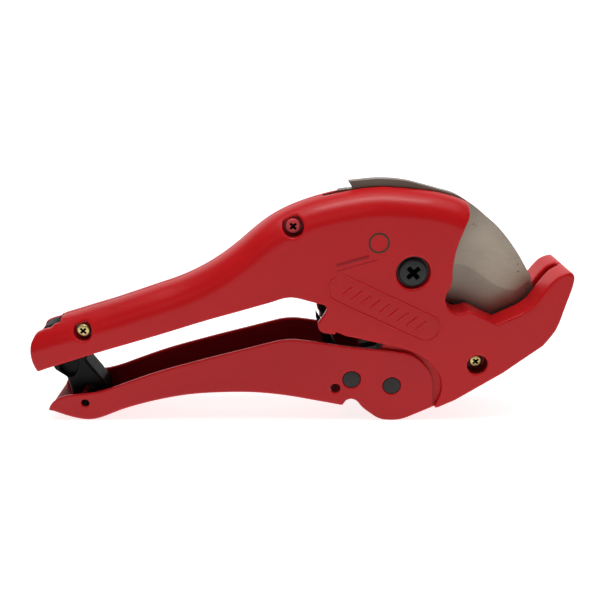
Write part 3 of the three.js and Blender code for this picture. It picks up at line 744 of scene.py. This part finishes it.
# ------------------------------------------------------------------ screws, rivets, small round parts
def screw(name, c, r, top, height, cross_len, cross_w, depth, body, node_name, material, dome=0.35):
    h = r / 28
    X = grid(c[0] - r - 3 * h, c[0] + r + 3 * h, h)
    Z = grid(c[1] - r - 3 * h, c[1] + r + 3 * h, h)
    Y = grid(-height - 3 * h, 3 * h, h)  # depth below the head's top, measured inwards as negative
    gx, gz = np.meshgrid(X, Z, indexing="ij")
    rr = np.hypot(gx - c[0], gz - c[1])[:, None, :]
    y = Y[None, :, None]
    crown = y + (rr / r) ** 2 * dome
    F = rmax(np.broadcast_to(rr - r, (len(X), len(Y), len(Z))), crown, 0.16 * r)
    F = rmax(F, np.broadcast_to(-height - y, F.shape), 0.05 * r)
    t = math.radians(43)
    a = (gx - c[0]) * math.cos(t) + (gz - c[1]) * math.sin(t)
    b = -(gx - c[0]) * math.sin(t) + (gz - c[1]) * math.cos(t)
    taper = (y + depth) / depth  # 1 at the top, 0 at the bottom
    L = cross_len / 2 * (0.45 + 0.55 * np.clip(taper, 0, 1.2))
    W = cross_w / 2 * (0.6 + 0.4 * np.clip(taper, 0, 1.2))
    arms = np.minimum(np.maximum(np.abs(a)[:, None, :] - L, np.abs(b)[:, None, :] - W), np.maximum(np.abs(b)[:, None, :] - L, np.abs(a)[:, None, :] - W))
    core = (np.abs(a) + np.abs(b))[:, None, :] / 1.414 - cross_w * 0.72 * (0.5 + 0.5 * np.clip(taper, 0, 1.2))
    hole = np.maximum(np.minimum(arms, core), -depth - y)
    F = rmax(F, -hole, 0.02 * r)
    v, f, n = nets(F, X, Y, Z, move=np.zeros(3), widen=False)
    v = v * 1000
    v[:, 1] = top * WIDEN - v[:, 1]  # the head's top faces -Y
    n[:, 1] *= -1
    f = f[:, ::-1]
    ob = mesh_object(name, (v + ORIGIN) / 1000, f, n, None, (), material)
    ob.data.materials.append(CROSS_PAINTED_SHADE)
    # faces sunk in the driver cross get the near-black material: painted shade
    q = np.array([tuple(k.center) for k in ob.data.polygons]) * 1000 - ORIGIN
    rq = np.hypot(q[:, 0] - c[0], q[:, 2] - c[1])
    low = top * WIDEN - q[:, 1]
    sunk_shade = (rq < 0.62 * cross_len) & (low < -(rq / r) ** 2 * dome - 0.1 * depth) & (low > -depth - 0.2)
    ob.data.polygons.foreach_set("material_index", sunk_shade.astype(np.int32))
    return ob


def lathe(name, c, profile, n, body, replaces, material, angle=30):
    v, f = [], []
    m = len(profile)
    for i in range(n):
        t = 2 * math.pi * i / n
        for r, y in profile:
            v.append((c[0] + r * math.cos(t), y, c[1] + r * math.sin(t)))
    for i in range(n):
        j = (i + 1) % n
        for k in range(m - 1):
            f.append((i * m + k, j * m + k, j * m + k + 1, i * m + k + 1))
    ob = mesh_object(name, to_m(v), f, None, None, (), material)
    bm = bmesh.new()
    bm.from_mesh(ob.data)
    bmesh.ops.remove_doubles(bm, verts=bm.verts, dist=1e-7)
    bmesh.ops.recalc_face_normals(bm, faces=bm.faces)
    bm.to_mesh(ob.data)
    bm.free()
    by_angle(ob, angle)
    if body:
        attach(ob, body)
    if replaces:
        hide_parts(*replaces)
    return ob


def merge(name, parts, body, nodes):
    """Joins closed meshes into one piece."""
    v, f, mats, mi = [], [], [], []
    nor = []
    for ob in parts:
        base = len(v)
        me = ob.data
        v += [tuple(q.co) for q in me.vertices]
        for m in me.materials:
            if m not in mats:
                mats.append(m)
        own = [mats.index(m) for m in me.materials]
        for p in me.polygons:
            f.append(tuple(base + i for i in p.vertices))
            mi.append(own[p.material_index])
        bpy.data.objects.remove(ob)
    ob = mesh_object(name, v, f)
    for m in mats:
        ob.data.materials.append(m)
    ob.data.polygons.foreach_set("material_index", mi)
    by_angle(ob, 35)
    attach(ob, body)
    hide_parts(*nodes)
    return ob


def shank(c, r, y0, y1, tip=0.0):
    prof = [(0, y0), (r, y0), (r, y1 - r * 0.8), (r * 0.45, y1), (0, y1)]
    return lathe("shank", c, prof, 32, None, (), STEEL)


for name, c, r, top, hh, cl, cw, dp, mat, node_name, slot_name, sh, end in (
    ("pivot_screw_phillips", (0, 0), 5.9, -11.35, 1.75, 7.0, 1.9, 1.25, BLACK, "blade_pivot_screw", "black_steel", 2.8, 11.1),
    ("handle_end_screw_phillips", END_SCREW, 2.65, -9.7, 1.6, 3.5, 0.95, 1.2, ZINC, "handle_end_screw", "zinc_yellow", 1.7, 8.6),
    ("shoulder_screw_phillips", SHOULDER, 2.9, -9.2, 1.7, 3.7, 1.0, 1.3, RED_SCREW, "shoulder_screw", "painted_screw", 1.8, 8.6),
    ("jaw_screw_phillips", JAW_SCREW, 2.6, -8.5, 1.6, 3.4, 0.95, 1.2, ZINC, "jaw_screw", "zinc_yellow", 1.6, 8.6),
):
    head = screw(name + "_head", c, r, top, hh, cl, cw, dp, None, None, mat)
    body = shank(c, sh, (top * WIDEN + hh + 0.02) / WIDEN, end)
    body.data.materials.clear()
    body.data.materials.append(mat)
    merge(name, [head, body], "housing", (node_name,))

lathe("pivot_washer_ring", (0, 0), [(3.3, -9.75), (6.45, -9.75), (6.6, -9.6), (6.6, -9.45), (3.3, -9.45), (3.3, -9.75)], 64, "housing", ("blade_pivot_washer",), BLACK)
for name, c, rs, node_name in (("handle_rivet_turned", H, 3.0, "handle_pivot_rivet"), ("pawl_rivet_turned", P, 2.5, "pawl_rivet")):
    prof = [(0, -11.5), (3.2, -11.47), (3.65, -11.38), (3.86, -11.15), (3.9, -10.2), (rs, -10.2), (rs, 10.2), (3.9, 10.2), (3.86, 11.15), (3.65, 11.38), (3.2, 11.47), (0, 11.5)]
    o = lathe(name, c, prof, 64, "handle_body", (node_name,), RIVET)
o = lathe("catch_pin_turned", CATCH, [(0, -10.9), (1.4, -10.9), (1.7, -10.6), (1.7, 10.6), (1.4, 10.9), (0, 10.9)], 40, "handle_body", ("catch_pin",), PIN_PAINTED_SHADE)

# ------------------------------------------------------------------ latch
LATCH_OUT = [(-156.6, -30.6), (-156.9, -28.8), (-155.8, -27.2), (-152.6, -26.1), (-150.6, -27.2), (-146.0, -26.6), (-142.0, -24.8), (-139.8, -23.7), (-137.3, -23.1), (-135.0, -23.8), (-133.3, -25.6), (-132.9, -28.0), (-134.2, -32.0), (-136.8, -38.0), (-139.8, -42.8), (-138.2, -45.4), (-135.4, -49.6), (-133.4, -52.9), (-131.9, -56.6), (-131.7, -61.3), (-132.8, -62.9), (-135.2, -63.6), (-137.2, -63.3), (-137.5, -62.2), (-135.4, -61.8), (-135.0, -60.3), (-135.2, -57.5), (-137.2, -55.6), (-141.8, -55.6), (-144.0, -57.6), (-144.4, -61.0), (-146.0, -62.0), (-147.6, -60.0), (-148.0, -57.2), (-149.2, -51.4), (-153.8, -47.9), (-155.6, -44.0), (-156.0, -36.0)]


def make_latch():
    h = 0.32
    X, Z = grid(-158.5, -130.2, h), grid(-65.0, -19.0, h)
    Y = grid(-5.6, 5.6, h)
    d = poly_sd(LATCH_OUT, X, Z)
    y = Y[None, :, None]
    F = rmax(np.broadcast_to(up(d), (len(X), len(Y), len(Z))), np.abs(y) - 4.45, 1.1)
    panel = poly_sd(cr([(-151.6, -47.6), (-150.8, -42.0), (-148.0, -38.6), (-143.6, -38.8), (-142.6, -42.6), (-143.6, -47.0), (-146.2, -50.6), (-149.4, -50.4), (-151.6, -47.6)], 4)[:-1], X, Z)
    F = rmax(F, -np.maximum(up(panel), 2.0 - np.abs(y)), 0.6)
    F = rmax(F, -np.broadcast_to(up(circ_sd(END_SCREW, 2.0, X, Z)), F.shape), 0.25)
    # grip ribs across the thumb tab
    gx, gz = np.meshgrid(X, Z, indexing="ij")
    rib = np.sin((gx * 0.9 + gz * 0.45) * 4.2) * 0.16
    F = F + up(np.where((gz > -30.5) & (gx < -150.5), rib * np.clip((gz + 30.5) / 1.5, 0, 1), 0))
    v, f, n = nets(F, X, Y, Z)
    o = mesh_object("thumb_latch_moulded", v, f, n, "latch_body", ("latch",), LATCH)


make_latch()


# ------------------------------------------------------------------ springs
def coil(c, r, y0, y1, start, turns, per):
    n = round(abs(turns) * per)
    return [(*(lambda q: (q[0], y0 + (y1 - y0) * i / n, q[1]))(pol(r, start + 360 * turns * i / n, c)),) for i in range(n + 1)]


def wire(name, pts, r, body, node_name):
    cu = bpy.data.curves.new(name, "CURVE")
    cu.dimensions = "3D"
    cu.bevel_depth = r / 1000
    cu.bevel_resolution = 3
    cu.use_fill_caps = True
    cu.resolution_u = 3
    sp = cu.splines.new("NURBS")
    sp.points.add(len(pts) - 1)
    for p, q in zip(sp.points, to_m(pts)):
        p.co = (*map(float, q), 1)
    sp.use_endpoint_u = True
    sp.order_u = 3
    ob = bpy.data.objects.new(name, cu)
    bpy.context.scene.collection.objects.link(ob)
    cu.materials.append(SPRING)
    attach(ob, body)
    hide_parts(node_name)
    return ob


wire("pawl_spring_wire", [(-33.6, 3.3, -39.2), (-31.6, 3.4, -42.4)] + coil(P, 4.15, 3.7, 7.3, 150, 3.25, 16) + [(-26.0, 7.9, -52.6), (-29.4, 8.6, -53.2), (-30.7, 10.0, -52.6), (-30.7, 11.2, -52.6)], 0.4, "handle_body", "drive_pawl_spring")
a, b = hp(10, 2.6), hp(6, 3.2)
wire("holding_spring_wire", [(a[0], 0.6, a[1]), (a[0] - 0.6, 2.0, a[1] - 0.2), (b[0], 2.4, b[1])] + coil(SHOULDER, 3.4, 2.5, 5.3, 60, 3, 16) + [(SHOULDER[0] + 3.6, 5.3, SHOULDER[1] - 1.6)], 0.35, "housing", "holding_pawl_spring")
wire("handle_spring_wire", [(-25.2, -3.5, -43.2), (-16.0, -3.5, -44.2)] + coil(H, 6.3, -3.5, -7.0, 90, -2.75, 18) + [(-12.7, -7.0, -47.5), (-12.7, -7.0, -43.6)], 0.55, "housing", "handle_return_spring")

# ------------------------------------------------------------------ carried-over CAD nodes
for names, mat in (
    (("blade_pivot_bushing", "blade_shim_near", "blade_shim_far", "handle_pivot_bushing", "pawl_spacer_near", "pawl_spacer_far"), STEEL),
    (("blade_pivot_nut",), BLACK), (("drive_pawl", "holding_pawl"), PAWL)):
    for nm in names:
        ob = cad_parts[nm]
        ob.data.materials.clear()
        ob.data.materials.append(mat)
        w = ob.modifiers.new("weld", "WELD")
        w.merge_threshold = 1e-6
        if nm in ("blade_pivot_nut", "drive_pawl", "holding_pawl"):
            bv = ob.modifiers.new("edge", "BEVEL")
            bv.width = 0.00025
            bv.segments = 2
            bv.limit_method = "ANGLE"
            bv.angle_limit = math.radians(40)


# ------------------------------------------------------------------ raised marks on the near side (plain shapes, no lettering)
def bead(name, loop, width, height, material, closed=True, body="housing"):
    """Low rounded bead along a loop on the near face."""
    p = np.array(loop, float)
    n = len(p)
    if closed:
        t = np.roll(p, -1, 0) - np.roll(p, 1, 0)
    else:
        t = np.gradient(p, axis=0)
    t /= np.linalg.norm(t, axis=1, keepdims=True)
    nr = np.stack([-t[:, 1], t[:, 0]], 1)
    prof = [(-0.5, 0.12), (-0.5, -0.02), (-0.36, -0.72), (-0.15, -0.97), (0.15, -0.97), (0.36, -0.72), (0.5, -0.02), (0.5, 0.12)]
    v, f = [], []
    m = len(prof)
    for i in range(n):
        for s, hgt in prof:
            q = p[i] + nr[i] * s * width
            v.append((q[0], -HALF + hgt * height / WIDEN, q[1]))
    last = n if closed else n - 1
    for i in range(last):
        j = (i + 1) % n
        for k in range(m):
            l = (k + 1) % m
            f.append((i * m + k, j * m + k, j * m + l, i * m + l))
    if not closed:
        f.append(tuple(range(m)))
        f.append(tuple((n - 1) * m + k for k in range(m))[::-1])
    ob = mesh_object(name, to_m(v), f, None, None, (), material)
    tidy(ob)
    by_angle(ob, 50)
    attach(ob, body)
    return ob


A0, A1 = np.array((-28.7, -6.9)), np.array((6.7, -24.2))  # centres of the plaque's round ends
ax = (A1 - A0) / np.linalg.norm(A1 - A0)
px = np.array((-ax[1], ax[0]))
ang = math.degrees(math.atan2(ax[1], ax[0]))
R0 = 5.8
loop = [tuple(q) for q in arc(A1, R0, ang - 90, ang + 90, 24)] + [tuple(q) for q in arc(A0, R0, ang + 90, ang + 270, 24)]
bead("plaque_border", loop, 0.75, 0.32, RED)
for i, s in enumerate(np.linspace(0.06, 0.94, 9)):
    c = A0 + (A1 - A0) * s
    d = px * 0.92 + ax * 0.39
    d /= np.linalg.norm(d)
    bead("plaque_bar_%d" % (i + 1), [tuple(c - d * 2.7), tuple(c - d * 0.9), tuple(c + d * 0.9), tuple(c + d * 2.7)], 1.15, 0.3, RED, closed=False)

# plain printed sign: a ring and two strokes
INK = paint("printed_ink", (0.035, 0.03, 0.014), 0.45)
INK_RED = paint("printed_ink_red", (0.30, 0.002, 0.006), 0.45)
bead("printed_ring", arc((-14.4, 12.6), 3.9, 0, 350, 36), 0.8, 0.05, INK)
bead("printed_stroke_1", [(-31.2, 3.2), (-27.0, 4.5), (-22.0, 6.0), (-18.2, 7.1)], 1.3, 0.05, INK_RED, closed=False)
bead("printed_stroke_2", [(-31.0, 0.8), (-26.0, 2.3), (-20.0, 4.1), (-14.6, 5.7)], 0.4, 0.05, INK_RED, closed=False)

# ------------------------------------------------------------------ stage, light, camera
def sheet(name, corners, colour, glow):
    me = bpy.data.meshes.new(name)
    me.from_pydata(corners, [], [(0, 1, 2, 3)])
    ob = bpy.data.objects.new(name, me)
    bpy.context.scene.collection.objects.link(ob)
    m, nt, b = new_mat(name)
    b.inputs["Base Color"].default_value = (*colour, 1)
    b.inputs["Roughness"].default_value = 0.95
    b.inputs["Specular IOR Level"].default_value = 0.0
    b.inputs["Emission Color"].default_value = (1, 1, 1, 1)
    b.inputs["Emission Strength"].default_value = glow
    me.materials.append(m)
    return ob


sheet("floor", [(-3, -1.2, 0), (3, -1.2, 0), (3, 1.4, 0), (-3, 1.4, 0)], (0.5, 0.5, 0.5), 0.80)
sheet("backdrop", [(-3, 1.4, 0), (3, 1.4, 0), (3, 1.9, 2.2), (-3, 1.9, 2.2)], (0.86, 0.86, 0.86), 0.9)

bpy.context.scene.view_settings.view_transform = "Standard"
world = bpy.data.worlds.new("studio") if not bpy.context.scene.world else bpy.context.scene.world
bpy.context.scene.world = world
world.use_nodes = True
bg = world.node_tree.nodes["Background"]
bg.inputs["Color"].default_value = (1, 1, 1, 1)
bg.inputs["Strength"].default_value = 0.07


def area(name, loc, target, size, power, color=(1, 1, 1)):
    l = bpy.data.lights.new(name, "AREA")
    l.shape = "RECTANGLE"
    l.size, l.size_y = size
    l.energy = power
    l.color = color
    o = bpy.data.objects.new(name, l)
    o.location = loc
    o.rotation_euler = (Vector(target) - Vector(loc)).to_track_quat("-Z", "Y").to_euler()
    bpy.context.scene.collection.objects.link(o)
    return o


area("top_box", (0.0, 0.02, 0.95), (0, 0.0, 0.0), (1.5, 0.7), 5.7)
area("top_strip", (0.02, -0.04, 0.62), (0.02, 0.0, 0.08), (0.42, 0.13), 1.5)
area("front_fill", (-0.35, -0.95, 0.75), (0, 0, 0.05), (0.9, 0.5), 0.8)

cam = bpy.data.cameras.new("camera")
cam.lens = 41.4
cam.sensor_width = 36
cam.clip_start = 0.01
cam_ob = bpy.data.objects.new("camera", cam)
cam_ob.location = ((-45.96 + ORIGIN[0]) / 1000, -277.57 / 1000, (89.94 + ORIGIN[2]) / 1000)
cam_ob.rotation_euler = (math.radians(69), 0, 0)
bpy.context.scene.collection.objects.link(cam_ob)
bpy.context.scene.camera = cam_ob
